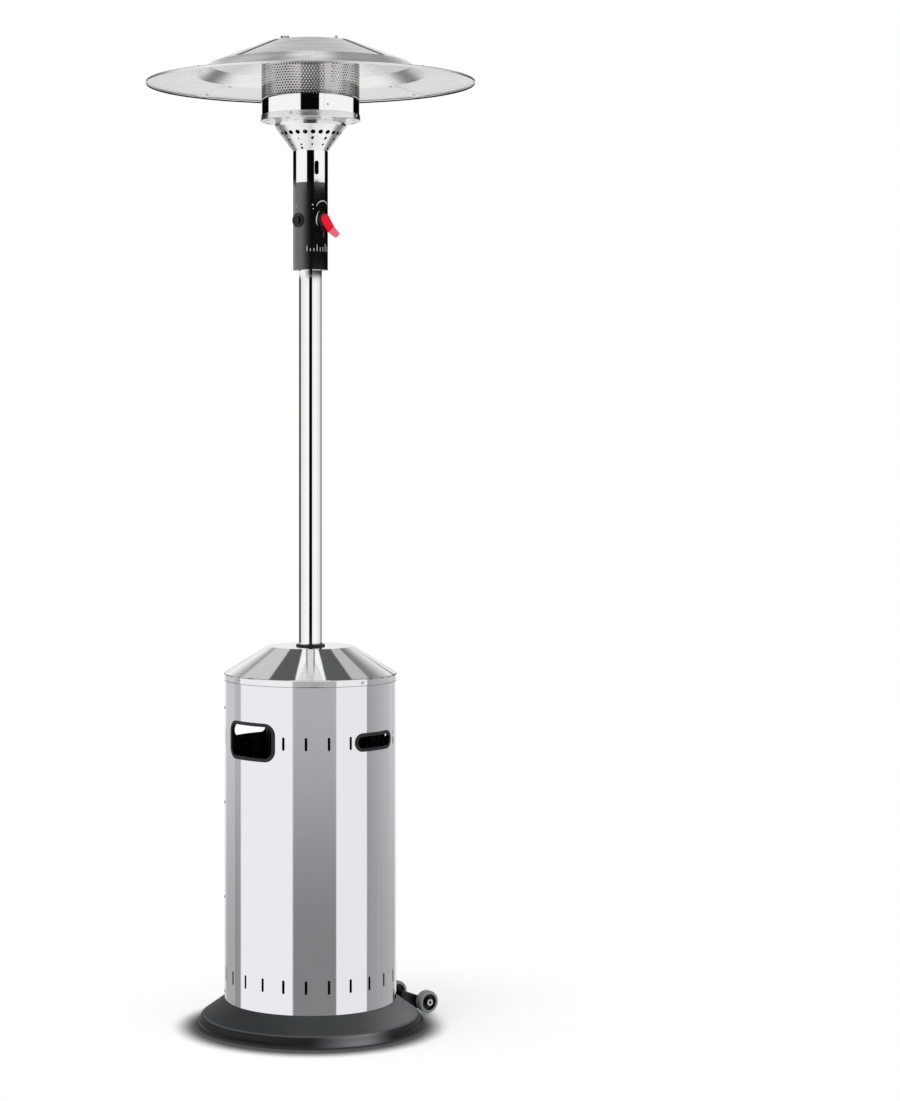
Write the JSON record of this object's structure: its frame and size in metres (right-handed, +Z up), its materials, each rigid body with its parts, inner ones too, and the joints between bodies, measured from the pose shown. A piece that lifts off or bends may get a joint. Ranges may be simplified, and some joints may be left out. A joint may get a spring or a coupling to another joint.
{
  "type": "gas patio heater",
  "caption": "Mushroom gas patio heater: round base, lifting steel bottle housing, slim post, control head, perforated burner and wide segmented reflector.",
  "frame": {"origin": "on the floor under the centre line of the post, which is the middle of the round base", "axes": "+Z up along the post, -Y to the front with the access opening and the igniter button, +X to the side with the control knob"},
  "size_m": [0.76, 0.76, 2.2715],
  "materials": {
    "anthracite_paint": "satin powder coat",
    "black_paint": "satin powder coat",
    "concrete": "cast",
    "rubber": "matt",
    "grey_tyre": "satin",
    "black_plastic": "satin",
    "gloss_black": "gloss",
    "red_plastic": "satin",
    "brushed_steel": "brushed",
    "polished_steel": "polished",
    "heat_steel": "heat-worn",
    "reflector_aluminium": "brushed",
    "zinc_steel": "zinc plated",
    "brass": "turned",
    "copper": "drawn",
    "ceramic": "glazed"
  },
  "bodies": {
    "stand": {"base_shell": "anthracite_paint", "ballast_plate": "concrete", "base_feet": "rubber", "bottle_deck": "anthracite_paint", "wheel_bracket": "black_paint", "wheel_axle": "zinc_steel", "leg_right": "anthracite_paint", "leg_rear": "anthracite_paint", "leg_left": "anthracite_paint", "leg_bolts": "zinc_steel", "leg_hub": "anthracite_paint", "post_flange": "polished_steel", "flange_bolts": "zinc_steel", "post": "polished_steel", "catch_screw": "zinc_steel", "hose_inlet": "brass", "gas_riser": "copper", "head_socket": "black_paint", "valve_bracket": "zinc_steel", "control_housing": "black_paint", "joining_collar": "zinc_steel", "head_screws": "zinc_steel", "neck_tube": "polished_steel", "valve_body": "brass", "igniter_bezel": "gloss_black", "piezo_igniter": "black_plastic", "burner_pipe": "brass", "pilot_burner": "copper", "ignition_electrode": "ceramic", "burner_cone": "polished_steel", "cone_screws": "zinc_steel", "burner_pan": "polished_steel", "pan_rivets": "zinc_steel", "burner_head": "heat_steel", "emitter_screen": "heat_steel", "screen_cap": "heat_steel", "reflector_studs": "zinc_steel", "wing_nuts": "zinc_steel", "reflector_front": "reflector_aluminium", "reflector_right": "reflector_aluminium", "reflector_rear": "reflector_aluminium", "reflector_left": "reflector_aluminium", "seam_screws": "zinc_steel"},
    "guide": {"guide_bush": "black_plastic"},
    "housing": {"housing_front": "brushed_steel", "housing_rear": "brushed_steel", "housing_rivets": "zinc_steel", "front_trim": "black_plastic", "right_grip_trim": "black_plastic", "left_grip_trim": "black_plastic", "cover": "polished_steel", "cover_screws": "zinc_steel"},
    "spindle": {"valve_spindle": "zinc_steel"},
    "knob": {"knob_barrel": "black_plastic", "knob_lever": "red_plastic"},
    "igniter": {"igniter_button": "black_plastic"},
    "wheel_left": {"left_hub": "black_plastic", "left_tyre": "grey_tyre"},
    "wheel_right": {"right_hub": "black_plastic", "right_tyre": "grey_tyre"}
  },
  "joints": [
    {"name": "housing_lift", "type": "slide", "parent": "stand", "child": "guide", "axis": [0, 0, 1], "range_m": [0, 0.861]},
    {"name": "housing_turn", "type": "hinge", "parent": "guide", "child": "housing", "pos_m": [0, 0, 0.872], "axis": [0, 0, 1], "continuous": true},
    {"name": "knob_turn", "type": "hinge", "parent": "stand", "child": "spindle", "pos_m": [0.03, 0, 1.854], "axis": [1, 0, 0], "range_deg": [0, 230]},
    {"name": "knob_push", "type": "slide", "parent": "spindle", "child": "knob", "axis": [-1, 0, 0], "range_m": [0, 0.0035], "stiffness_N_per_m": 900, "springref_m": -0.004},
    {"name": "igniter_press", "type": "slide", "parent": "stand", "child": "igniter", "axis": [0, 1, 0], "range_m": [0, 0.005], "stiffness_N_per_m": 1500, "springref_m": -0.003},
    {"name": "left_wheel_spin", "type": "hinge", "parent": "stand", "child": "wheel_left", "pos_m": [0.06321, 0.2738, 0.03], "axis": [0.9744, -0.225, 0], "continuous": true},
    {"name": "right_wheel_spin", "type": "hinge", "parent": "stand", "child": "wheel_right", "pos_m": [0.06321, 0.2738, 0.03], "axis": [0.9744, -0.225, 0], "continuous": true}
  ]
}
